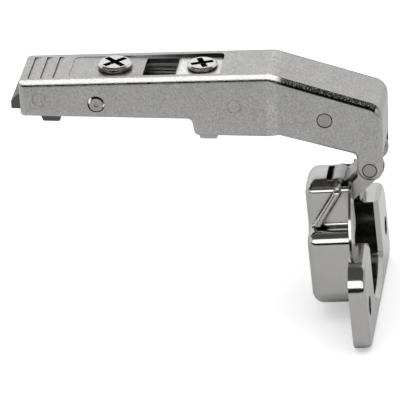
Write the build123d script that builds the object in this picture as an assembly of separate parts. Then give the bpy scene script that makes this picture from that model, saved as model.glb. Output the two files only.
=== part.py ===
# Cranked clip-on cup hinge for a cabinet door, shown open.
# Millimetres, +Z up. X runs along the arm towards the cup, Y runs along the pivots.
# The origin lies on the clip's seat plane, under the depth screw's axis.
import math
import os

from build123d import *

os.makedirs("parts", exist_ok=True)

# Clearances
press_gap = 0.01
run_gap = 0.05
free_gap = 0.3

# Arm channel
arm_width = 17.7
sheet = 1.5
rear_reach = 23.6
rear_height = 8.8
crease_x = 39.9
crease_z = 11.8
bend_round = 1.5
foot_drop = 0.75
step_x = 19.9
step_run = 0.7
step_drop = 5.15
under_end = 39.4
under_jog = 2.6
under_rise = 0.4

# Pivots on the arm
reach = 64.5
drop = 13.6
inner_back = 11.0
inner_rise = 13.6
outer_pin_r = 1.65
inner_pin_r = 1.75
rivet_ring = 0.25
rivet_ring_deep = 0.35

# Hook at the front end
hook_eye_r = 3.2
hook_front = 3.4
nose_corner_up = 17.2
nose_round = 4.0
hook_shoulder = 6.0
web_stop_up = 4.3
head_under_slope = 0.25

# Pressed panel and grip grooves on the arm's top
panel_back = 11.0
panel_front = 27.2
panel_half = 6.2
panel_deep_back = 0.15
panel_deep_front = 0.95
panel_floor = 1.3
panel_round = 1.5
slot_back = 7.6
slot_front = 15.8
slot_half = 5.3
slot_corner = 1.0
groove_x = -21.4
groove_pitch = 3.17
groove_run = 2.0
groove_deep = 0.35
groove_half = 6.5

# Adjusting screws
depth_head_r = 4.3
depth_head_tall = 1.35
depth_shank_r = 2.5
cam_r = 5.0
cam_thick = 1.2
side_x = 22.1
side_head_r = 3.8
side_head_tall = 1.0
side_shank_r = 2.0
side_collar_r = 3.0
side_collar_thick = 1.2
cross_width = 1.5
cross_deep = 0.8
cross_margin = 0.9
depth_cross_turn = 45.0
side_cross_turn = 22.0

# Clip adapter inside the arm
adapter_sheet = 1.2
adapter_gap = 0.4
adapter_back = 13.2
adapter_front = 29.0
adapter_top = 5.5
adapter_low = 0.6
adapter_pin_x = -3.9
adapter_pin_z = 2.96
adapter_pin_r = 1.75
adapter_pin_recess = 0.2
adapter_pin_play = 0.3
pin_dimple_r = 0.6
pin_dimple_deep = 0.25
slide_fore = 3.0
slide_aft = 2.0
clip_x = 21.9
clip_run = 4.2
clip_drop = 6.45
clip_notch_r = 1.2

# Release lever
lever_x = -18.3
lever_z = 3.6
lever_pin_r = 1.2
lever_eye_r = 2.3
lever_gap = 0.4
lever_tail = 26.1
lever_hook_drop = 3.2
lever_slot_half = 2.9
lever_leg_room = 1.2
lever_wire_r = 0.35
lever_coil_r = 1.9
lever_turns = 3

# Cup in its own frame: depth along the mouth's normal, rise towards the pivots
open_tilt = 4.0
face_back = 4.3
cup_r = 17.5
axis_drop = cup_r + 4.15
cup_deep = 11.5
cup_wall = 0.85
base_wall = 0.8
base_round = 2.4
neck_half = 7.5
neck_wall = 0.9
neck_round = 1.6
ledge_rise = 5.7
ledge_round = 3.5
drum_half = 12.6
drum_round = 3.5
ledge_hollow = 1.2
rim_r = 18.6
rim_thick = 0.7
wing_half = 28.5
wing_top = 2.7
wing_low = 19.8
wing_height = 4.4
wing_sheet = 1.2
wing_corner = 4.0
wing_top_corner = 7.0
wing_round = 1.2
screw_half = 22.5
screw_drop = 9.5
screw_hole_r = 2.5
mouth_round = 1.2

# Pivots in the cup and their wire staple
near_deep = 3.05
near_rise = cup_r - 2.4
deep_deep = 7.76
deep_rise = cup_r - 9.5
axle_r = 1.0
bar_tail = 1.2

# Links
link_sheet = 1.3
link_gap = 1.05
outer_eye_r = 3.5
deep_eye_r = 2.4
web_start = 2.4
web_run = 8.5
band_gap = 0.5
open_slot_up = 0.9
open_slot_run = 6.0
open_slot_turn = 50.0
inner_half = 4.0
inner_strip = 1.3
inner_eye_r = 3.2
knuckle_r = 2.4
strip_gap = 0.75

# Closing springs
coil_wire_r = 0.4
coil_turns = 3
coil_pitch = 0.95
coil_inset = 1.0
coil_long_leg = 4.0


def rounded_face(points, y):
    """Face at depth y from corner points (x, z, corner radius)."""
    count = len(points)
    corners = []
    for i in range(count):
        x, z, r = points[i]
        before = points[i - 1]
        after = points[(i + 1) % count]
        here = Vector(x, y, z)
        if r <= 0:
            corners.append((here, None, here))
            continue
        d1 = (Vector(before[0], y, before[1]) - here).normalized()
        d2 = (Vector(after[0], y, after[1]) - here).normalized()
        half = math.acos(max(-1.0, min(1.0, d1.dot(d2)))) / 2
        run = r / math.tan(half)
        centre = here + (d1 + d2).normalized() * (r / math.sin(half))
        middle = centre + (here - centre).normalized() * r
        corners.append((here + d1 * run, middle, here + d2 * run))
    edges = []
    for i in range(count):
        start, middle, end = corners[i]
        if middle is not None:
            edges.append(ThreePointArc(start, middle, end))
        following = corners[(i + 1) % count][0]
        if (following - end).length > 1e-6:
            edges.append(Line(end, following))
    return Face(Wire(edges))


def plate(points, y0, y1):
    """Prism of a rounded outline between two depths."""
    return Solid.extrude(rounded_face(points, y0), Vector(0, y1 - y0, 0))


def flat(points, y0, y1):
    """Prism of a sharp outline between two depths."""
    return plate([(x, z, 0) for x, z in points], y0, y1)


def rod(x, z, r, y0, y1):
    """Cylinder along Y."""
    return Pos(x, (y0 + y1) / 2, z) * Rot(90, 0, 0) * Cylinder(r, y1 - y0)


def post(x, y, r, z0, z1):
    """Cylinder along Z."""
    return Pos(x, y, (z0 + z1) / 2) * Cylinder(r, z1 - z0)


def block(x0, x1, y0, y1, z0, z1):
    """Box between opposite corners."""
    centre = Pos((x0 + x1) / 2, (y0 + y1) / 2, (z0 + z1) / 2)
    return centre * Box(x1 - x0, y1 - y0, z1 - z0)


def stadium(xa, za, xb, zb, r, y0, y1):
    """Round-ended bar outline from a to b, as a prism along Y."""
    length = math.hypot(xb - xa, zb - za)
    ux = (xb - xa) / length
    uz = (zb - za) / length
    side = [
        (xa - uz * r, za + ux * r),
        (xb - uz * r, zb + ux * r),
        (xb + uz * r, zb - ux * r),
        (xa + uz * r, za - ux * r),
    ]
    return flat(side, y0, y1) + rod(xa, za, r, y0, y1) + rod(xb, zb, r, y0, y1)


def coil(mean_r, wire_r, pitch, turns):
    """Coil along Y from the origin, its wire starting on the +X side."""
    steps = round(4 * turns)
    spots = []
    for i in range(2 * steps + 1):
        angle = math.radians(45 * i)
        spots.append(Vector(mean_r * math.cos(angle), pitch * i / 8, -mean_r * math.sin(angle)))
    made = None
    for i in range(steps):
        path = ThreePointArc(spots[2 * i], spots[2 * i + 1], spots[2 * i + 2])
        ring = Plane(origin=path @ 0, z_dir=path % 0) * Circle(wire_r)
        length = sweep(ring, path=path)
        if i:
            length += Pos(*spots[2 * i]) * Sphere(1.04 * wire_r)
        made = length if made is None else made + length
    return made


def wire(a, b, r):
    """Straight wire with slightly swollen round ends."""
    start = Vector(*a)
    end = Vector(*b)
    along = end - start
    body = Solid.make_cylinder(r, along.length, Plane(origin=start, z_dir=along))
    knob = 1.04 * r
    return body + Pos(*a) * Sphere(knob) + Pos(*b) * Sphere(knob)


def one_solid(shape):
    """The single solid of a finished piece."""
    solids = shape.solids()
    assert len(solids) == 1, len(solids)
    return solids[0]


# Lines of the arm's side view
half = arm_width / 2
inside = half - sheet
outer_x = reach
outer_z = -drop
inner_x = reach - inner_back
inner_z = inner_rise - drop
nose_x = reach + hook_front
nose_z = outer_z + nose_corner_up
rear_x = -rear_reach
top_slope = (crease_z - rear_height) / (crease_x - rear_x)
head_slope = (nose_z - crease_z) / (nose_x - crease_x)
jog_x = under_end + under_jog
jog_z = under_rise - step_drop
hook_x = outer_x - hook_eye_r
hook_z = jog_z - head_under_slope * (hook_x - jog_x)


def arm_top(x):
    """Height of the arm's straight top face."""
    return rear_height + top_slope * (x - rear_x)


def panel_top(x):
    """Height of the pressed panel's floor."""
    share = (x + panel_back) / (panel_front + panel_back)
    return arm_top(x) - panel_deep_back - (panel_deep_front - panel_deep_back) * share


# Arm
arm_outline = [
    (rear_x + 0.2, -foot_drop, 1.0),
    (step_x, -foot_drop, 1.4),
    (step_x + step_run, -step_drop, 1.2),
    (under_end, -step_drop, 0.8),
    (jog_x, jog_z, 1.0),
    (hook_x, hook_z, 1.6),
    (hook_x, outer_z - hook_eye_r, hook_eye_r * 0.999),
    (outer_x + hook_eye_r, outer_z - hook_eye_r, hook_eye_r * 0.9),
    (nose_x, outer_z + hook_shoulder, 2.5),
    (nose_x, nose_z, nose_round),
    (crease_x, crease_z, 5.0),
    (rear_x, rear_height, 0.8),
]
arm = Part() + plate(arm_outline, -half, half)
top_edges = []
for edge in arm.edges():
    spot = edge @ 0.5
    if abs(abs(spot.Y) - half) > 1e-4:
        continue
    on_back = spot.X < crease_x and spot.Z > rear_height * 0.6 and spot.X > rear_x + 1.5
    on_head = spot.X >= crease_x and spot.Z > nose_z - 3.9
    on_nose = spot.X > outer_x + 0.9 * hook_eye_r and spot.Z > outer_z + 0.5 * hook_eye_r
    if on_back or on_head or on_nose:
        top_edges.append(edge)
arm = fillet(top_edges, bend_round)

far = 40.0
back_fall = sheet * math.hypot(1.0, top_slope)
head_fall = sheet * math.hypot(1.0, head_slope)
bend_x = crease_x + (back_fall - head_fall) / (top_slope - head_slope)
bend_z = arm_top(bend_x) - back_fall
front_in = nose_x - sheet
front_in_z = crease_z + head_slope * (front_in - crease_x) - head_fall
pocket = [
    (rear_x - far, -far, 0),
    (front_in, -far, 0),
    (front_in, front_in_z, nose_round - sheet),
    (bend_x, bend_z, 3.0),
    (rear_x - far, arm_top(rear_x - far) - back_fall, 0),
]
arm -= plate(pocket, -inside, inside)
arm -= block(front_in - 1, nose_x + 1, -inside, inside, outer_z - far, outer_z + web_stop_up)

# Pressed panel
skirt = 0.8
slab = [
    (-panel_back - skirt, arm_top(-panel_back - skirt) - 0.5 * sheet),
    (-panel_back - skirt, panel_top(-panel_back - skirt) - panel_floor),
    (panel_front + skirt, panel_top(panel_front + skirt) - panel_floor),
    (panel_front + skirt, arm_top(panel_front + skirt) - 0.5 * sheet),
]
arm += flat(slab, -panel_half - skirt, panel_half + skirt)
pressing = [
    (-panel_back, arm_top(-panel_back) + 1),
    (-panel_back, panel_top(-panel_back)),
    (panel_front, panel_top(panel_front)),
    (panel_front, arm_top(panel_front) + 1),
]
pressing_cut = Part() + flat(pressing, -panel_half, panel_half)
pressing_cut = fillet(pressing_cut.edges().filter_by(Axis.Z), panel_round)
arm -= pressing_cut
screw_low = panel_top(-depth_head_r) - panel_floor - 1
screw_high = panel_top(side_x) + 1
arm -= post(0, 0, depth_shank_r + run_gap, screw_low, screw_high)
arm -= post(side_x, 0, side_shank_r + run_gap, screw_low, screw_high)
slot_cut = block(slot_back, slot_front, -slot_half, slot_half, screw_low, screw_high)
arm -= fillet(slot_cut.edges().filter_by(Axis.Z), slot_corner)

# Grip grooves
for i in range(3):
    x = groove_x + i * groove_pitch
    tooth = [
        (x, arm_top(x) + 0.4),
        (x, arm_top(x) - groove_deep),
        (x + groove_run, arm_top(x + groove_run)),
        (x + groove_run, arm_top(x + groove_run) + 0.4),
    ]
    arm -= flat(tooth, -groove_half, groove_half)

# Pin holes in the cheeks, with a sunk ring round each riveted end
for x, z, r in ((outer_x, outer_z, outer_pin_r), (inner_x, inner_z, inner_pin_r)):
    arm -= rod(x, z, r + press_gap, -half - 1, half + 1)
    arm -= rod(x, z, r + rivet_ring, half - rivet_ring_deep, half + 1)
    arm -= rod(x, z, r + rivet_ring, -half - 1, rivet_ring_deep - half)
pin_hole_r = adapter_pin_r + run_gap + adapter_pin_play
arm -= rod(adapter_pin_x, adapter_pin_z + adapter_pin_play, pin_hole_r, -half - 1, half + 1)

# Pressed rings in the cheeks
ring_r = 1.85
for x, z in ((lever_x, lever_z + 0.6), (adapter_front + 1.9, lever_z - 0.3)):
    for y0, y1 in ((-half - 1, 0.12 - half), (half - 0.12, half + 1)):
        arm -= rod(x, z, ring_r, y0, y1) - rod(x, z, ring_r - 0.3, y0, y1)
hinge_arm = one_solid(arm)

# Pins riveted in the arm
outer_link_pin = rod(outer_x, outer_z, outer_pin_r, -half, half)
inner_link_pin = rod(inner_x, inner_z, inner_pin_r, -half, half)


def cross_cut(x, top, head_r, turn):
    """Cross recess in a screw head."""
    reach_r = head_r - cross_margin
    arms = Box(2 * reach_r, cross_width, 2 * cross_deep)
    arms += Box(cross_width, 2 * reach_r, 2 * cross_deep)
    arms += Pos(0, 0, -cross_deep) * Cone(0.4 * cross_width, cross_width, cross_deep)
    return Pos(x, 0, top) * Rot(0, 0, turn) * arms


# Depth screw and its cam disc
depth_low = panel_top(depth_head_r) + 0.1
depth_top = depth_low + depth_head_tall
cam_top = panel_top(-cam_r) - panel_floor - free_gap
cam_low = cam_top - cam_thick
depth_end = cam_low - 0.4
head = post(0, 0, depth_head_r, depth_low, depth_top)
head = chamfer(head.edges().group_by(Axis.Z)[-1], 0.5)
depth = head + post(0, 0, depth_shank_r, depth_end, depth_low)
depth_screw = one_solid(depth - cross_cut(0, depth_top, depth_head_r, depth_cross_turn))
disc = post(0, 0, cam_r, cam_low, cam_top)
depth_cam = one_solid(disc - post(0, 0, depth_shank_r + press_gap, cam_low - 1, cam_top + 1))

# Clip adapter
adapter_half = inside - adapter_gap
adapter_in = adapter_half - adapter_sheet
web_low = adapter_top - adapter_sheet
ear_r = lever_eye_r + 0.3
cheek = [
    (lever_x - 1.5, adapter_low, 0.8),
    (clip_x - 2.2, adapter_low, 1.0),
    (clip_x - 0.6, -clip_drop + 2.0, 0.8),
    (clip_x, -clip_drop, 0.5),
    (clip_x + clip_run, -clip_drop, 0.5),
    (clip_x + clip_run + 0.6, -clip_drop + 2.0, 0.8),
    (adapter_front, -clip_drop + 4.0, 1.0),
    (adapter_front, adapter_top, 1.0),
    (lever_x, adapter_top, 0),
]
adapter = Part() + plate(cheek, -adapter_half, adapter_half)
adapter += rod(lever_x, lever_z, ear_r, -adapter_half, adapter_half)
adapter -= block(lever_x - far, adapter_front + far, -adapter_in, adapter_in, -far, web_low)
adapter -= block(lever_x - far, -adapter_back, -adapter_in, adapter_in, -far, far)
notch_x = clip_x + 0.4
notch_z = -clip_drop + 3.4
adapter -= stadium(notch_x - far, notch_z, notch_x, notch_z, clip_notch_r, -far, far)
screw_slot_r = side_shank_r + free_gap
screw_slot = post(side_x - slide_fore, 0, screw_slot_r, 0, far)
screw_slot += post(side_x + slide_aft, 0, screw_slot_r, 0, far)
screw_slot += block(side_x - slide_fore, side_x + slide_aft, -screw_slot_r, screw_slot_r, 0, far)
adapter += block(-adapter_back, adapter_front - 1, -adapter_half, adapter_half, web_low, adapter_top)
pin_slot_r = adapter_pin_r + run_gap
pin_fore = adapter_pin_x - slide_fore
pin_aft = adapter_pin_x + slide_aft
adapter -= stadium(pin_fore, adapter_pin_z, pin_aft, adapter_pin_z, pin_slot_r, -far, far)
adapter -= screw_slot
web_slot = adapter_in - 0.7
adapter -= block(slot_back - slide_aft, slot_front, -web_slot, web_slot, web_low - 1, far)
adapter -= rod(lever_x, lever_z, lever_pin_r + press_gap, -far, far)
clip_adapter = one_solid(adapter)
pin_end = half - adapter_pin_recess
dimple_at = pin_end - pin_dimple_deep
pin = rod(adapter_pin_x, adapter_pin_z, adapter_pin_r, -pin_end, pin_end)
pin -= rod(adapter_pin_x, adapter_pin_z, pin_dimple_r, -half, -dimple_at)
pin -= rod(adapter_pin_x, adapter_pin_z, pin_dimple_r, dimple_at, half)
adapter_pin = one_solid(pin)

# Side screw, its collar held under the adapter's web
side_low = panel_top(side_x + side_head_r) + 0.1
side_top = side_low + side_head_tall
side_lift = math.radians(1.5) * (side_x - adapter_pin_x + slide_fore)
collar_top = web_low - side_lift - free_gap
collar_low = collar_top - side_collar_thick
head = post(side_x, 0, side_head_r, side_low, side_top)
head = chamfer(head.edges().group_by(Axis.Z)[-1], 0.4)
side = head + post(side_x, 0, side_shank_r, collar_low, side_low)
side += post(side_x, 0, side_collar_r, collar_low, collar_top)
side_screw = one_solid(side - cross_cut(side_x, side_top, side_head_r, side_cross_turn))

# Release lever
lever_half = adapter_in - lever_gap
lever_outline = [
    (lever_x - 0.5, lever_z + lever_eye_r - 0.3, 0.5),
    (-lever_tail + 2.5, lever_z + lever_eye_r - 1.2, 0.8),
    (-lever_tail, lever_z - 1.2, 0.8),
    (-lever_tail, 0.1, 0.4),
    (-lever_tail + 2.6, 0.1, 0.6),
    (lever_x - 2.6, lever_z - 1.6, 1.0),
    (lever_x - 1.2, lever_z - 3.2, 0.8),
    (lever_x + 0.2, -lever_hook_drop, 0.5),
    (lever_x + 4.6, -lever_hook_drop, 0.6),
    (lever_x + 4.6, -lever_hook_drop + 1.6, 0.6),
    (lever_x + 2.6, -lever_hook_drop + 2.2, 0.8),
    (lever_x + 2.0, lever_z, 0.5),
]
lever = Part() + plate(lever_outline, -lever_half, lever_half)
lever += rod(lever_x, lever_z, lever_eye_r, -lever_half, lever_half)
coil_room = lever_coil_r + lever_wire_r + free_gap
lever -= rod(lever_x, lever_z, coil_room, -lever_slot_half, lever_slot_half)
coil_top = lever_z + lever_coil_r
room_top = block(lever_x - coil_room, lever_x + coil_room, -lever_slot_half, lever_slot_half, lever_z, far)
lever -= room_top
leg_low = coil_top - lever_wire_r - free_gap - lever_leg_room
lever -= block(1.2 - lever_tail, lever_x, -lever_slot_half, 0, leg_low, far)
lever -= rod(lever_x, lever_z, lever_pin_r + run_gap, -far, far)
release_lever = one_solid(lever)
lever_pin = rod(lever_x, lever_z, lever_pin_r, -adapter_half, adapter_half)

lever_pitch = 2 * lever_wire_r + 0.15
lever_coil_half = lever_pitch * lever_turns / 2
spring = Rot(0, -90, 0) * coil(lever_coil_r, lever_wire_r, -lever_pitch, lever_turns)
spring = Pos(lever_x, lever_coil_half, lever_z) * spring
back_leg = lever_tail - 2.6
fore_leg = adapter_back + free_gap + lever_wire_r
spring += wire((lever_x, lever_coil_half, coil_top), (-back_leg, lever_coil_half, coil_top), lever_wire_r)
spring += wire((lever_x, -lever_coil_half, coil_top), (-fore_leg, -lever_coil_half, coil_top), lever_wire_r)
spring = mirror(spring, about=Plane.XZ)
lever_spring = one_solid(spring)

# Cup, built in its own frame and then placed
neck_in = neck_half - neck_wall
cavity_r = cup_r - cup_wall
ledge_in = ledge_rise - cup_wall


def disc_x(x0, x1, r):
    """Cylinder along the cup's axis."""
    return Pos((x0 + x1) / 2, 0, 0) * Rot(0, 90, 0) * Cylinder(r, x1 - x0)


def drum_outline(r, neck, side, ledge, rounds):
    """A round cut to two flat sides, with a narrower neck above its two ledges."""
    top_round, out_round, in_round, low_round = rounds
    outline = Circle(r) & Rectangle(2 * side, 4 * r)
    for side_y in (-1, 1):
        shoulder = Pos(side_y * (neck + r), ledge + r) * Rectangle(2 * r, 2 * r)
        outline -= shoulder
    outer = [v for v in outline.vertices() if abs(v.X) > neck + 1 and v.Y > 0]
    outline = fillet(outer, out_round)
    low = [v for v in outline.vertices() if abs(v.X) > neck + 1 and v.Y < -0.5 * r]
    outline = fillet(low, low_round)
    inner = [v for v in outline.vertices() if math.hypot(abs(v.X) - neck, v.Y - ledge) < 1e-3]
    outline = fillet(inner, in_round)
    top = [v for v in outline.vertices() if abs(abs(v.X) - neck) < 1e-3 and v.Y > ledge + in_round + 1]
    return fillet(top, top_round)


def along_cup(x):
    """Plane across the cup's axis."""
    return Plane(origin=(x, 0, 0), x_dir=(0, 1, 0), z_dir=(1, 0, 0))


outside_rounds = (neck_round, ledge_round, ledge_hollow, drum_round)
outside = drum_outline(cup_r, neck_half, drum_half, ledge_rise, outside_rounds)
shell = extrude(along_cup(-cup_deep) * outside, amount=cup_deep)
shell = fillet(shell.edges().group_by(Axis.X)[0], base_round)
boss = extrude(along_cup(0) * outside, amount=wing_height)
shell += boss & block(0, wing_height, -cup_r, cup_r, -cup_r - 1, wing_top)
rim = disc_x(0, rim_thick, rim_r) & block(0, rim_thick, -rim_r, rim_r, 0, rim_r)
tray = block(0, wing_height, -wing_half, wing_half, -wing_low, wing_top)
tray = fillet(tray.edges().filter_by(Axis.X).group_by(Axis.Z)[-1], wing_top_corner)
tray = fillet(tray.edges().filter_by(Axis.X).group_by(Axis.Z)[0], wing_corner)
tray = fillet(tray.faces().sort_by(Axis.X)[-1].edges(), wing_round)
hollow = block(
    -1,
    wing_height - wing_sheet,
    wing_sheet - wing_half,
    wing_half - wing_sheet,
    wing_sheet - wing_low,
    wing_top - wing_sheet,
)
hollow = fillet(hollow.edges().filter_by(Axis.X).group_by(Axis.Z)[-1], wing_top_corner - wing_sheet)
hollow = fillet(hollow.edges().filter_by(Axis.X).group_by(Axis.Z)[0], wing_corner - wing_sheet)
hollow -= extrude(along_cup(-2) * outside, amount=wing_height + 3)
cup = shell + rim + tray - hollow
inside_rounds = (
    neck_round - neck_wall,
    ledge_round - cup_wall,
    ledge_hollow + cup_wall,
    drum_round - cup_wall,
)
opening = drum_outline(cavity_r, neck_in, drum_half - cup_wall, ledge_in, inside_rounds)
cup -= extrude(along_cup(base_wall - cup_deep) * opening, amount=cup_deep - base_wall + wing_height + 1)
cup -= extrude(along_cup(wing_height - mouth_round) * opening, amount=mouth_round + 0.1, taper=-40)

# Notches in the neck's top for the links, pivot holes and screw holes
link_room = inside - link_gap + free_gap
knuckle_room = inner_half + free_gap
notch_deep = near_deep + knuckle_r + 2 * free_gap
cup -= block(-near_deep, far, -link_room, link_room, near_rise - 5, far)
cup -= block(-notch_deep, far, -knuckle_room, knuckle_room, near_rise - 5, far)
for x, z in ((-near_deep, near_rise), (-deep_deep, deep_rise)):
    cup -= rod(x, z, axle_r + press_gap, -cup_r, cup_r)
for side_y in (-1, 1):
    hole = Pos(wing_height, side_y * screw_half, -screw_drop) * Rot(0, 90, 0)
    cup -= hole * Cylinder(screw_hole_r, 4 * wing_sheet)

# Staple: two legs across the neck and a bar along its near face
bar_y = -neck_half - axle_r - press_gap
legs_end = neck_half
ux = deep_deep - near_deep
uz = near_rise - deep_rise
leg_space = math.hypot(ux, uz)
tail_x = -deep_deep - bar_tail * ux / leg_space
tail_z = deep_rise - bar_tail * uz / leg_space
staple = rod(-near_deep, near_rise, axle_r, bar_y, legs_end)
staple += rod(-deep_deep, deep_rise, axle_r, bar_y, legs_end)
staple += wire((-near_deep, bar_y, near_rise), (tail_x, bar_y, tail_z), axle_r)
staple += Pos(-deep_deep, bar_y, deep_rise) * Sphere(1.04 * axle_r)

# Closing springs on the deep leg
mean_r = axle_r + run_gap + coil_wire_r
coil_long = coil_pitch * (coil_turns + 0.25)
base_leg = cup_deep - base_wall - deep_deep - coil_wire_r - free_gap


def closing_spring(side):
    """Spring on one side of the cup's middle, made as the other side's image."""
    made = coil(mean_r, coil_wire_r, -side * coil_pitch, coil_turns + 0.25)
    made += wire((mean_r, 0, 0), (mean_r, 0, coil_long_leg), coil_wire_r)
    end_y = -side * coil_long
    made += wire((0, end_y, -mean_r), (-base_leg, end_y, -mean_r), coil_wire_r)
    return Pos(-deep_deep, side * coil_inset, deep_rise) * mirror(made, about=Plane.XZ)


cup_place = Pos(outer_x - face_back, 0, outer_z - axis_drop) * Rot(0, -open_tilt, 0)
hinge_cup = one_solid(cup_place * cup)
cup_axle = one_solid(cup_place * staple)
closing_spring_far = one_solid(cup_place * closing_spring(1))
closing_spring_near = one_solid(cup_place * closing_spring(-1))

# Pivots of the cup in the arm's frame
tilt = math.radians(open_tilt)


def cup_point(deep, rise):
    """Side-view place of a point given in the cup's frame."""
    x = outer_x - face_back - deep * math.cos(tilt) - rise * math.sin(tilt)
    z = outer_z - axis_drop - deep * math.sin(tilt) + rise * math.cos(tilt)
    return x, z


near_x, near_z = cup_point(near_deep, near_rise)
deep_x, deep_z = cup_point(deep_deep, deep_rise)

# Outer link: along runs from the hook's pin to the deep leg, across to its lower edge
link_long = math.hypot(deep_x - outer_x, deep_z - outer_z)
along_x = (deep_x - outer_x) / link_long
along_z = (deep_z - outer_z) / link_long


def link_point(s, t):
    """Side-view place at s along the outer link and t across it."""
    return outer_x + along_x * s - along_z * t, outer_z + along_z * s + along_x * t


def link_edge(s):
    """Distance of the outer link's lower edge from its middle line."""
    return outer_eye_r + (deep_eye_r - outer_eye_r) * s / link_long


near_side = (near_x - outer_x) * along_z - (near_z - outer_z) * along_x
band_top = abs(near_side) - axle_r - band_gap
link_out = inside - link_gap
link_in = link_out - link_sheet
band = [
    link_point(0, -band_top),
    link_point(link_long, -band_top),
    link_point(link_long, link_edge(link_long)),
    link_point(0, link_edge(0)),
]
left_x = outer_x - hook_eye_r - 0.1
left_s = (outer_x - left_x + along_z * band_top) / -along_x
wedge = [
    (outer_x, outer_z),
    (left_x, outer_z),
    link_point(left_s, -band_top),
    link_point(left_s, 0.5),
]
slot_top_z = deep_z + open_slot_up
outer = Part() + flat(band, -link_out, link_out)
outer += flat(wedge, -link_out, link_out)
outer += rod(outer_x, outer_z, outer_eye_r, -link_out, link_out)
outer += stadium(deep_x, deep_z, deep_x, slot_top_z, deep_eye_r, -link_out, link_out)
outer -= block(outer_x - far, outer_x + far, -link_in, link_in, outer_z - far, outer_z + far)
web = [
    link_point(web_start, link_edge(web_start) - link_sheet),
    link_point(web_start + web_run, link_edge(web_start + web_run) - link_sheet),
    link_point(web_start + web_run, link_edge(web_start + web_run)),
    link_point(web_start, link_edge(web_start)),
]
outer += flat(web, -link_in - 0.5, link_in + 0.5)
outer -= rod(outer_x, outer_z, outer_pin_r + run_gap, -far, far)
slot_r = axle_r + free_gap
slot_turn = math.radians(open_slot_turn)
slot_end_x = deep_x + open_slot_run * math.cos(slot_turn)
slot_end_z = deep_z - open_slot_run * math.sin(slot_turn)
slot_low_z = deep_z - open_slot_run
outer -= stadium(deep_x, slot_top_z, deep_x, slot_low_z, slot_r, -far, far)
outer -= stadium(deep_x, deep_z, slot_end_x, slot_end_z, slot_r, -far, far)
outer -= flat([(deep_x, deep_z), (deep_x, slot_low_z), (slot_end_x, slot_end_z)], -far, far)
outer_link = one_solid(outer)

# Inner link: eye on the head's pin, strip past the hook's pin, rolled knuckle in the cup
strip_right = outer_x - outer_pin_r - strip_gap
strip_left = strip_right - inner_strip
slant = math.sqrt(0.5)
low_off = knuckle_r - 0.3
low_x = near_x + slant * low_off
low_z = near_z - slant * low_off
bend_low = low_z + strip_right - low_x
bend_up = near_z + strip_left - near_x
eye_run = 2.2
strip = [
    (inner_x + eye_run, inner_z + eye_run, 0),
    (strip_right, inner_z - 5.2, 4.0),
    (strip_right, bend_low, 1.5),
    (low_x, low_z, 0),
    (near_x, near_z, 0),
    (strip_left, bend_up, 0.8),
    (strip_left, inner_z - 7.0, 3.0),
    (inner_x - eye_run, inner_z - eye_run, 0),
]
inner = Part() + plate(strip, -inner_half, inner_half)
inner += rod(inner_x, inner_z, inner_eye_r, -link_out, link_out)
inner += rod(near_x, near_z, knuckle_r, -inner_half, inner_half)
inner -= rod(inner_x, inner_z, inner_pin_r + run_gap, -far, far)
inner -= rod(near_x, near_z, axle_r + run_gap, -far, far)
inner_link = one_solid(inner)

pieces = {
    "hinge_arm": hinge_arm,
    "outer_link_pin": outer_link_pin,
    "inner_link_pin": inner_link_pin,
    "depth_screw": depth_screw,
    "depth_cam": depth_cam,
    "side_screw": side_screw,
    "adapter_pin": adapter_pin,
    "clip_adapter": clip_adapter,
    "release_lever": release_lever,
    "lever_pin": lever_pin,
    "lever_spring": lever_spring,
    "outer_link": outer_link,
    "inner_link": inner_link,
    "hinge_cup": hinge_cup,
    "cup_axle": cup_axle,
    "closing_spring_near": closing_spring_near,
    "closing_spring_far": closing_spring_far,
}
for name, shape in pieces.items():
    shape.label = name
    export_step(shape, "parts/" + name + ".step")
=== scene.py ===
import math

import bpy
from mathutils import Matrix, Vector


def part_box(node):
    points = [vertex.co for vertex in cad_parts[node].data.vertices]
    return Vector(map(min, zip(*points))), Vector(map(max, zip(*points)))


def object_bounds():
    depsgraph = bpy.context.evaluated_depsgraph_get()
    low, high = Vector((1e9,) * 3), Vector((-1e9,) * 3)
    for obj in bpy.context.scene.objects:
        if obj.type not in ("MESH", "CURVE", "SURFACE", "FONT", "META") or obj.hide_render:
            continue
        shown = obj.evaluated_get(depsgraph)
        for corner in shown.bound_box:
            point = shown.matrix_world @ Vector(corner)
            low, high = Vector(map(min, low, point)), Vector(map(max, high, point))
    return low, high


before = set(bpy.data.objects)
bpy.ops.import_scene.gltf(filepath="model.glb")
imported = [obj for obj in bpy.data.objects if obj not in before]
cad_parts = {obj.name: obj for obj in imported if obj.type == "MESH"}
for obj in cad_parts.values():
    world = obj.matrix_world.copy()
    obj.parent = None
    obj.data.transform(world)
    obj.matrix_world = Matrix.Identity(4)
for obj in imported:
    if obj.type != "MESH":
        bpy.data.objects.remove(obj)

cad_low, cad_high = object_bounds()
scene = bpy.context.scene
scene.view_settings.view_transform = "Standard"
MM = 0.001

# Camera at the photograph's viewing angle, aimed so that one end of the hook's pin falls on its pixel
AZIMUTH = math.radians(8.1)
ELEVATION = math.radians(26.0)
ROLL = math.radians(2.3)
FOCAL_PX = 4550.0
PICTURE_PX = 400.0
PX_PER_MM = 4.0
AIM = Vector((64.5, -8.85, -13.6)) * MM
AIM_PX = (369.6, 170.9)
SENSOR_MM = 36.0
NEAREST = 0.05
FURTHEST = 20.0


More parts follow.
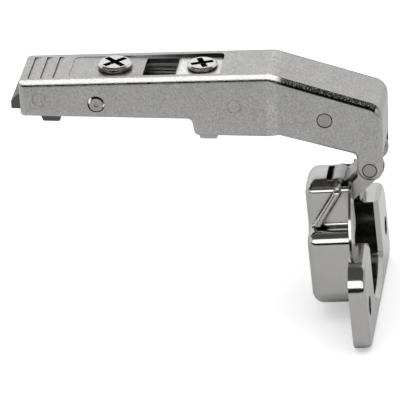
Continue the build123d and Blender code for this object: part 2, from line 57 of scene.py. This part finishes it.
def make_camera():
    right = Vector((math.cos(AZIMUTH), math.sin(AZIMUTH), 0.0))
    ahead = Vector((
        -math.sin(AZIMUTH) * math.cos(ELEVATION),
        math.cos(AZIMUTH) * math.cos(ELEVATION),
        -math.sin(ELEVATION),
    ))
    up = right.cross(ahead)
    side = right * math.cos(ROLL) - up * math.sin(ROLL)
    top = right * math.sin(ROLL) + up * math.cos(ROLL)
    across = (AIM_PX[0] - PICTURE_PX / 2) / FOCAL_PX
    down = (AIM_PX[1] - PICTURE_PX / 2) / FOCAL_PX
    ray = ahead + side * across - top * down
    place = AIM - ray * (FOCAL_PX / PX_PER_MM * MM)
    data = bpy.data.cameras.new("camera")
    data.sensor_width = SENSOR_MM
    data.lens = FOCAL_PX / PICTURE_PX * SENSOR_MM
    data.clip_start = NEAREST
    data.clip_end = FURTHEST
    camera = bpy.data.objects.new("camera", data)
    turn = Matrix((side, top, -ahead)).transposed().to_4x4()
    camera.matrix_world = Matrix.Translation(place) @ turn
    scene.collection.objects.link(camera)
    scene.camera = camera


make_camera()


# Helpers for node trees
def add(tree, kind, **values):
    made = tree.nodes.new(kind)
    for name, value in values.items():
        setattr(made, name, value)
    return made


def feed(tree, value, socket):
    """Links an output to a socket, or writes a plain value into it."""
    if isinstance(value, bpy.types.NodeSocket):
        tree.links.new(value, socket)
    else:
        socket.default_value = value


def maths(tree, operation, *values):
    made = add(tree, "ShaderNodeMath", operation=operation)
    for place, value in enumerate(values):
        feed(tree, value, made.inputs[place])
    return made.outputs[0]


def product(tree, first, *others):
    total = first
    for other in others:
        total = maths(tree, "MULTIPLY", total, other)
    return total


def more(tree, share, amount=1.0):
    """One, raised by a share of an amount."""
    return maths(tree, "ADD", 1.0, product(tree, share, amount))


def less(tree, share, amount=1.0):
    """One, lowered by a share of an amount."""
    return maths(tree, "SUBTRACT", 1.0, product(tree, share, amount))


def spread(tree, value, low, high, to_low, to_high, curve="SMOOTHSTEP"):
    """Goes from one number to another while the value goes from low to high."""
    made = add(tree, "ShaderNodeMapRange", interpolation_type=curve)
    made.inputs["From Min"].default_value = low
    made.inputs["From Max"].default_value = high
    made.inputs["To Min"].default_value = to_low
    made.inputs["To Max"].default_value = to_high
    feed(tree, value, made.inputs["Value"])
    return made.outputs["Result"]


def rise(tree, value, start, full):
    return spread(tree, value, start, full, 0.0, 1.0)


def fall(tree, value, full, end):
    return spread(tree, value, full, end, 1.0, 0.0)


def strip(tree, value, start, full, stay, end):
    """One between two soft edges and nought outside them."""
    return product(tree, rise(tree, value, start, full), fall(tree, value, stay, end))


def scaled(tree, vector, share):
    made = add(tree, "ShaderNodeVectorMath", operation="SCALE")
    feed(tree, vector, made.inputs[0])
    feed(tree, share, made.inputs["Scale"])
    return made.outputs[0]


def axes(tree, vector):
    made = add(tree, "ShaderNodeSeparateXYZ")
    feed(tree, vector, made.inputs[0])
    return made.outputs


class Skin:
    """Node tree of one finish, with the place on the piece in millimetres and the way it faces."""

    def __init__(self, tree):
        self.tree = tree
        coords = add(tree, "ShaderNodeTexCoord")
        self.spot = scaled(tree, coords.outputs["Object"], 1 / MM)
        self.place = axes(tree, self.spot)
        self.facing = axes(tree, coords.outputs["Normal"])

    def noise(self, size_mm, detail, rough):
        made = add(self.tree, "ShaderNodeTexNoise")
        made.inputs["Scale"].default_value = 1 / size_mm
        made.inputs["Detail"].default_value = detail
        made.inputs["Roughness"].default_value = rough
        feed(self.tree, self.spot, made.inputs["Vector"])
        return made.outputs["Fac"]

    def distance(self, **centre):
        """Distance in millimetres from a line, given by its place on two axes."""
        squares = []
        for axis, value in centre.items():
            off = maths(self.tree, "SUBTRACT", self.place[axis], value)
            squares.append(product(self.tree, off, off))
        return maths(self.tree, "SQRT", maths(self.tree, "ADD", *squares))


# Places on the pieces in millimetres; four numbers are where a soft-edged strip starts, fills, thins and ends
CREASE_X = (38.6, 39.4, 41.2, 42.2)
BRIGHT_PANEL_X = (15.9, 16.6, 27.1, 27.3)
BRIGHT_PANEL_Y = (-6.25, -6.1, 6.1, 6.25)
PANEL_FRONT = 27.2
PANEL_HALF = 6.2
PANEL_ROUND = 1.5
PANEL_WALL_X = (2.0, 20.0, 25.9, 26.1)
PANEL_WALL_EDGES = (-0.2, -0.12, 0.1, 0.18)
PANEL_CORNER_EDGES = (-0.14, -0.08, 0.12, 0.2)
PANEL_CORNER_X = (25.5, 25.7)
PANEL_CORNER_Y = (4.9, 5.6)
HOLE_BACK = 7.6
HOLE_FRONT = 15.8
HOLE_HALF = 5.3
HOLE_FULL = 0.04
HOLE_FADE = 0.1
ADAPTER_INSIDE_Y = (-6.3, -6.1, 6.1, 6.3)
PIN_X = -3.9
PIN_Z = 2.96
PIN_HOLE_Z = 3.26
PIN_HOLE_R = (2.14, 2.22)
PIN_FACE_R = (1.2, 1.4)
PIN_END_Y = (8.58, 8.64)
OFF_PIN_R = (2.6, 3.0)
HEAD_START_X = (41.0, 43.5)
RECESS_MARGIN = 0.8
RECESS_FULL = 0.16
RECESS_NONE = 0.04
RECESS_FADE = 0.1


# Marks: each gives the factor on the colour at a place; most of them are painted shade or painted highlight
def crease_highlight_mark(skin):
    """Lighter stippled strip across the cheeks where the arm bends: a painted highlight where the cheek turns
    towards the light.
    """
    crease = strip(skin.tree, skin.place["X"], *CREASE_X)
    stipple = skin.noise(size_mm=0.5, detail=2.0, rough=0.6)
    amount = spread(skin.tree, stipple, low=0.3, high=0.7, to_low=-0.05, to_high=0.28)
    return more(skin.tree, crease, amount)


def top_grain_mark(skin):
    """Coarser flecks on the upward faces."""
    up = rise(skin.tree, skin.facing["Z"], start=0.5, full=0.9)
    fleck = skin.noise(size_mm=0.3, detail=3.0, rough=0.7)
    amount = spread(skin.tree, fleck, low=0.35, high=0.65, to_low=-0.2, to_high=0.16)
    return more(skin.tree, up, amount)


def panel_mark(skin):
    """Brighter colour on the front part of the pressed panel."""
    along = strip(skin.tree, skin.place["X"], *BRIGHT_PANEL_X)
    side = strip(skin.tree, skin.place["Y"], *BRIGHT_PANEL_Y)
    return more(skin.tree, product(skin.tree, along, side), amount=0.9)


def hole_shade_mark(skin):
    """Dark walls of the panel's rectangular hole: painted shade."""
    shares = []
    for axis, low, high in (("X", HOLE_BACK, HOLE_FRONT), ("Y", -HOLE_HALF, HOLE_HALF)):
        edges = (low - HOLE_FADE, low - HOLE_FULL, high + HOLE_FULL, high + HOLE_FADE)
        shares.append(strip(skin.tree, skin.place[axis], *edges))
    return less(skin.tree, product(skin.tree, *shares), amount=0.82)


def panel_wall_shade_mark(skin):
    """Painted shade on the far wall of the pressed panel, darkest at its front end and round the corner
    there.
    """
    tree = skin.tree
    x, y = skin.place["X"], skin.place["Y"]
    along = strip(tree, x, *PANEL_WALL_X)
    side = strip(tree, y, *(PANEL_HALF + edge for edge in PANEL_WALL_EDGES))
    away = skin.distance(X=PANEL_FRONT - PANEL_ROUND, Y=PANEL_HALF - PANEL_ROUND)
    arc = strip(tree, away, *(PANEL_ROUND + edge for edge in PANEL_CORNER_EDGES))
    ahead = rise(tree, x, *PANEL_CORNER_X)
    aside = rise(tree, y, *PANEL_CORNER_Y)
    wall = maths(tree, "MAXIMUM", product(tree, along, side), product(tree, arc, ahead, aside))
    return less(tree, wall, amount=0.96)


def inside_shade_mark(skin):
    """Painted shade on the inner faces of the clip adapter."""
    return less(skin.tree, strip(skin.tree, skin.place["Y"], *ADAPTER_INSIDE_Y), amount=0.96)


def pin_hole_shadow_mark(skin):
    """Dark gap round the adapter's pin in the cheeks: painted shadow."""
    gap = fall(skin.tree, skin.distance(X=PIN_X, Z=PIN_HOLE_Z), *PIN_HOLE_R)
    return less(skin.tree, gap, amount=0.97)


def pin_side_shade_mark(skin):
    """Painted shade on the flanks of the adapter's pin inside the cheeks' holes."""
    out = maths(skin.tree, "ABSOLUTE", skin.place["Y"])
    sunk = fall(skin.tree, out, *PIN_END_Y)
    flank = rise(skin.tree, skin.distance(X=PIN_X, Z=PIN_Z), *PIN_FACE_R)
    return less(skin.tree, product(skin.tree, sunk, flank), amount=0.97)


def screw_wall_shade_mark(skin):
    """Darker upright walls of a screw head: painted shade."""
    return spread(skin.tree, skin.facing["Z"], low=0.15, high=0.5, to_low=0.25, to_high=1.0)


def recess_shade_mark(node_name):
    """Painted shade on the floor and walls of a screw's cross recess, which stays a margin inside the head.
    """
    low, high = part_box(node_name)
    top = high.z / MM
    middle = (low.x + high.x) / 2 / MM
    reach = high.y / MM - RECESS_MARGIN

    def mark(skin):
        deep = fall(skin.tree, skin.place["Z"], top - RECESS_FULL, top - RECESS_NONE)
        near = fall(skin.tree, skin.distance(X=middle, Y=0.0), reach, reach + RECESS_FADE)
        inside = product(skin.tree, deep, near)
        return spread(skin.tree, inside, low=0.0, high=1.0, to_low=1.0, to_high=0.03)

    return mark


# Bends along the arm's top: lean of the shading against the true lean, and where they lie by the normal
BEND_CURVE = ((0.02, 0.02), (0.06, 0.84), (0.80, 0.94), (0.88, 0.965), (0.975, 0.992))
BEND_LEAN = (0.02, 0.06, 0.99, 0.999)
BEND_UPWARD = (0.6, 0.8)
BEND_ROUGH = 0.17
LEAST_REST = 1e-6
LEAST_LEAN = 1e-4
MIX_SHARE, MIX_FROM, MIX_TO, MIX_RESULT = 0, 4, 5, 1


def bend_lean(tree, lean):
    made = add(tree, "ShaderNodeFloatCurve")
    points = made.mapping.curves[0].points
    for x, y in BEND_CURVE:
        points.new(x, y)
    for point in points:
        point.handle_type = "VECTOR"
    made.mapping.update()
    feed(tree, lean, made.inputs["Value"])
    return made.outputs["Value"]


def rest_of(tree, lean, least):
    """What a sideways lean leaves of a unit normal."""
    rest = maths(tree, "SUBTRACT", 1.0, product(tree, lean, lean))
    return maths(tree, "SQRT", maths(tree, "MAXIMUM", rest, least))


def bent_normal(skin, normal):
    """Steeper shading along the top bends, tight above and slack below; gives normal and share."""
    tree = skin.tree
    old = axes(tree, normal)
    lean = maths(tree, "ABSOLUTE", old["Y"])
    steep = bend_lean(tree, lean)
    old_rest = rest_of(tree, lean, LEAST_REST)
    keep = maths(tree, "DIVIDE", rest_of(tree, steep, 0.0), old_rest)
    gain = maths(tree, "DIVIDE", steep, maths(tree, "MAXIMUM", lean, LEAST_LEAN))
    on_bend = product(
        tree,
        strip(tree, lean, *BEND_LEAN),
        rise(tree, maths(tree, "DIVIDE", old["Z"], old_rest), *BEND_UPWARD),
        rise(tree, skin.distance(X=PIN_X, Z=PIN_HOLE_Z), *OFF_PIN_R),
    )
    whole = add(tree, "ShaderNodeCombineXYZ")
    for axis, share in (("X", keep), ("Y", gain), ("Z", keep)):
        feed(tree, product(tree, old[axis], share), whole.inputs[axis])
    mix = add(tree, "ShaderNodeMix", data_type="VECTOR")
    feed(tree, on_bend, mix.inputs[MIX_SHARE])
    feed(tree, normal, mix.inputs[MIX_FROM])
    feed(tree, whole.outputs[0], mix.inputs[MIX_TO])
    unit = add(tree, "ShaderNodeVectorMath", operation="NORMALIZE")
    feed(tree, mix.outputs[MIX_RESULT], unit.inputs[0])
    return unit.outputs[0], on_bend


def head_bend_reflection_band(skin, on_bend):
    """Ragged dark band on the bends of the cranked head: a painted dark reflection."""
    ahead = rise(skin.tree, skin.place["X"], *HEAD_START_X)
    ragged = skin.noise(size_mm=0.35, detail=3.0, rough=0.7)
    amount = spread(skin.tree, ragged, low=0.38, high=0.5, to_low=0.74, to_high=0.985)
    return less(skin.tree, product(skin.tree, on_bend, ahead), amount)


# Plated metal: grain in the bump, clouds in the colour, painted shade in the hollows and softly rounded edges
CLOUD_MM = 6.0
WORN_MM = 1.7
BUMP_MM = 0.02
NOISE_LOW, NOISE_HIGH = 0.3, 0.7
SPECK_GAIN = 0.7
HOLLOW_LOW, HOLLOW_HIGH = 0.25, 0.8
LEAST_ROUGH = 0.02


def plated(name, tone, rough, grain, grain_mm, cloud=0.06, edge_mm=0.15, rough_swing=0.06,
           speckle=0.10, hollow_mm=2.5, hollow_dark=0.12, marks=(), bent=False):
    made = bpy.data.materials.new(name)
    made.use_nodes = True
    tree = made.node_tree
    shader = tree.nodes["Principled BSDF"]
    shader.inputs["Metallic"].default_value = 1.0
    skin = Skin(tree)

    clouds = skin.noise(CLOUD_MM, detail=4.0, rough=0.6)
    tint = spread(tree, clouds, NOISE_LOW, NOISE_HIGH, 1 - cloud, 1 + cloud, curve="LINEAR")
    fine = skin.noise(grain_mm, detail=3.0, rough=0.65)
    specks = spread(tree, fine, NOISE_LOW, NOISE_HIGH, 1 - speckle, 1 + SPECK_GAIN * speckle)
    # Ambient occlusion darkens the colour in hollows and in gaps between parts: painted shade
    hollow = add(tree, "ShaderNodeAmbientOcclusion", samples=8)
    hollow.inputs["Distance"].default_value = hollow_mm * MM
    hollow_shade = spread(tree, hollow.outputs["AO"], HOLLOW_LOW, HOLLOW_HIGH, hollow_dark, 1.0)
    colour = tone
    for share in (tint, specks, hollow_shade):
        colour = scaled(tree, colour, share)
    for mark in marks:
        colour = scaled(tree, colour, mark(skin))

    worn = skin.noise(WORN_MM, detail=3.0, rough=0.6)
    smoothest = max(LEAST_ROUGH, rough - rough_swing)
    roughness = spread(tree, worn, NOISE_LOW, NOISE_HIGH, smoothest, rough + rough_swing)
    edge = add(tree, "ShaderNodeBevel", samples=4)
    edge.inputs["Radius"].default_value = edge_mm * MM
    normal = edge.outputs["Normal"]
    if bent:
        normal, on_bend = bent_normal(skin, normal)
        roughness = maths(tree, "SUBTRACT", roughness, product(tree, on_bend, rough - BEND_ROUGH))
        colour = scaled(tree, colour, head_bend_reflection_band(skin, on_bend))

    bump = add(tree, "ShaderNodeBump")
    bump.inputs["Strength"].default_value = grain
    bump.inputs["Distance"].default_value = BUMP_MM * MM
    feed(tree, fine, bump.inputs["Height"])
    feed(tree, normal, bump.inputs["Normal"])
    feed(tree, colour, shader.inputs["Base Color"])
    feed(tree, roughness, shader.inputs["Roughness"])
    feed(tree, bump.outputs["Normal"], shader.inputs["Normal"])
    return made


NICKEL = (0.45, 0.445, 0.435)
BRIGHT_NICKEL = (0.46, 0.455, 0.445)
SCREW_NICKEL = (0.66, 0.65, 0.64)
PLAIN_STEEL = (0.34, 0.335, 0.33)
PIN_STEEL = (0.40, 0.395, 0.385)
LEVER_STEEL = (0.10, 0.10, 0.10)
SPRING_STEEL = (0.24, 0.24, 0.24)
ARM_MARKS = (crease_highlight_mark, top_grain_mark, panel_mark, hole_shade_mark, panel_wall_shade_mark, pin_hole_shadow_mark)


def screw_finish(node_name):
    return plated(node_name + "_nickel", SCREW_NICKEL, rough=0.18, grain=0.15, grain_mm=0.25, cloud=0.04,
                  edge_mm=0.12, speckle=0.06, hollow_mm=1.2, marks=(recess_shade_mark(node_name), screw_wall_shade_mark))


arm_satin = plated("arm_satin_nickel", NICKEL, rough=0.34, grain=1.0, grain_mm=0.32, cloud=0.05,
                   speckle=0.26, marks=ARM_MARKS, bent=True)
satin = plated("satin_nickel", NICKEL, rough=0.34, grain=0.7, grain_mm=0.32, cloud=0.05, speckle=0.16)
# Satin nickel with painted shade on the clip adapter's inner faces
inner_satin = plated("inner_satin_nickel", NICKEL, rough=0.34, grain=0.7, grain_mm=0.32, cloud=0.05,
                     marks=(inside_shade_mark,))
bright = plated("bright_nickel", BRIGHT_NICKEL, rough=0.12, grain=0.10, grain_mm=0.45, cloud=0.03,
                edge_mm=0.2, rough_swing=0.03, speckle=0.04)
steel = plated("plain_steel", PLAIN_STEEL, rough=0.30, grain=0.35, grain_mm=0.22, cloud=0.07)
pin_steel = plated("adapter_pin_steel", PIN_STEEL, rough=0.30, grain=0.35, grain_mm=0.22, edge_mm=0.05,
                   marks=(pin_side_shade_mark,))
lever_steel = plated("lever_steel", LEVER_STEEL, rough=0.32, grain=0.4, grain_mm=0.22, cloud=0.08)
spring = plated("spring_wire", SPRING_STEEL, rough=0.30, grain=0.25, grain_mm=0.15, cloud=0.08, edge_mm=0.05)

FINISH = {
    "hinge_arm": arm_satin,
    "clip_adapter": inner_satin,
    "outer_link": satin,
    "inner_link": steel,
    "hinge_cup": bright,
    "cup_axle": bright,
    "depth_screw": screw_finish("depth_screw"),
    "side_screw": screw_finish("side_screw"),
    "outer_link_pin": steel,
    "inner_link_pin": steel,
    "adapter_pin": pin_steel,
    "depth_cam": steel,
    "release_lever": lever_steel,
    "lever_pin": steel,
    "lever_spring": spring,
    "closing_spring_near": spring,
    "closing_spring_far": spring,
}
for node_name, finish in FINISH.items():
    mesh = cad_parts[node_name].data
    mesh.materials.clear()
    mesh.materials.append(finish)


# Stage in metres: pale floor, and cards that show only in reflections
FLOOR_Z = cad_low.z - 0.5 * MM
FLOOR_HALF = 6.0
FLOOR_LIFT = 0.4
FLOOR_PALE = (0.9, 0.9, 0.9, 1.0)
WHITE = (1.0, 1.0, 1.0, 1.0)
CARD_FOOT = FLOOR_Z + 1.0 * MM


def stage_piece(name, corners, material):
    mesh = bpy.data.meshes.new(name)
    mesh.from_pydata([Vector(corner) for corner in corners], [], [(0, 1, 2, 3)])
    mesh.materials.append(material)
    made = bpy.data.objects.new(name, mesh)
    scene.collection.objects.link(made)
    return made


def make_floor():
    made = bpy.data.materials.new("floor_pale")
    made.use_nodes = True
    tree = made.node_tree
    shader = tree.nodes["Principled BSDF"]
    shader.inputs["Base Color"].default_value = FLOOR_PALE
    shader.inputs["Roughness"].default_value = 1.0
    shader.inputs["Specular IOR Level"].default_value = 0.0
    shader.inputs["Emission Color"].default_value = WHITE
    path = add(tree, "ShaderNodeLightPath")
    lift = product(tree, path.outputs["Is Camera Ray"], FLOOR_LIFT)
    feed(tree, lift, shader.inputs["Emission Strength"])
    a = FLOOR_HALF
    corners = [(-a, -a, FLOOR_Z), (a, -a, FLOOR_Z), (a, a, FLOOR_Z), (-a, a, FLOOR_Z)]
    stage_piece("floor", corners, made)


def glowing(name, strength):
    made = bpy.data.materials.new(name)
    made.use_nodes = True
    tree = made.node_tree
    tree.nodes.clear()
    glow = add(tree, "ShaderNodeEmission")
    glow.inputs["Strength"].default_value = strength
    out = add(tree, "ShaderNodeOutputMaterial")
    feed(tree, glow.outputs[0], out.inputs["Surface"])
    return made


def card(name, low, high, glow, strength):
    """Flat card between two opposite corners that share one coordinate."""
    if low[2] == high[2]:
        second = (high[0], low[1], low[2])
        fourth = (low[0], high[1], low[2])
    else:
        second = (high[0], high[1], low[2])
        fourth = (low[0], low[1], high[2])
    made = stage_piece(name, [low, second, high, fourth], glowing(glow, strength))
    made.visible_camera = False
    made.visible_diffuse = False
    made.visible_shadow = False
    made.visible_transmission = False


make_floor()
card("front_gap", low=(-0.6, -0.25, CARD_FOOT), high=(0.7, -0.25, 0.03), glow="gap_black", strength=0.01)
card("front_softbox", low=(-1.0, -0.8, 0.17), high=(1.0, -0.8, 0.75), glow="front_white", strength=2.5)
card("ceiling", low=(-1.2, -0.78, 0.76), high=(1.2, 0.27, 0.76), glow="ceiling_dark", strength=0.12)
card("back_glow", low=(-1.2, 0.9, 0.2), high=(0.05, 0.9, 0.75), glow="back_white", strength=1.15)
card("right_grey", low=(1.0, -0.6, CARD_FOOT), high=(1.0, 0.8, 0.5), glow="side_grey", strength=0.6)

# World: soft fill on the object, white where it is seen directly or in a reflection
FILL_STRENGTH = 0.75
SEEN_STRENGTH = 1.0


def make_world():
    world = bpy.data.worlds.new("studio")
    world.use_nodes = True
    tree = world.node_tree
    tree.nodes.clear()
    path = add(tree, "ShaderNodeLightPath")
    seen = path.outputs["Is Camera Ray"]
    for kind in ("Is Glossy Ray", "Is Transmission Ray"):
        seen = maths(tree, "MAXIMUM", seen, path.outputs[kind])
    mix = add(tree, "ShaderNodeMixShader")
    feed(tree, seen, mix.inputs[0])
    for place, strength in ((1, FILL_STRENGTH), (2, SEEN_STRENGTH)):
        glow = add(tree, "ShaderNodeBackground")
        glow.inputs["Color"].default_value = WHITE
        glow.inputs["Strength"].default_value = strength
        feed(tree, glow.outputs[0], mix.inputs[place])
    out = add(tree, "ShaderNodeOutputWorld")
    feed(tree, mix.outputs[0], out.inputs["Surface"])
    scene.world = world


make_world()

# Soft lamp above
LAMP_PLACE = Vector((0.0, -0.1, 0.8))
LAMP_AIM = Vector((0.02, 0.0, -0.02))
LAMP_SIDE = 0.8
LAMP_WATTS = 1.5


def make_lamp():
    data = bpy.data.lights.new("top_light", "AREA")
    data.shape = "RECTANGLE"
    data.size = LAMP_SIDE
    data.size_y = LAMP_SIDE
    data.energy = LAMP_WATTS
    made = bpy.data.objects.new("top_light", data)
    made.location = LAMP_PLACE
    made.rotation_euler = (LAMP_AIM - LAMP_PLACE).to_track_quat("-Z", "Y").to_euler()
    made.visible_camera = False
    made.visible_glossy = False
    scene.collection.objects.link(made)


make_lamp()
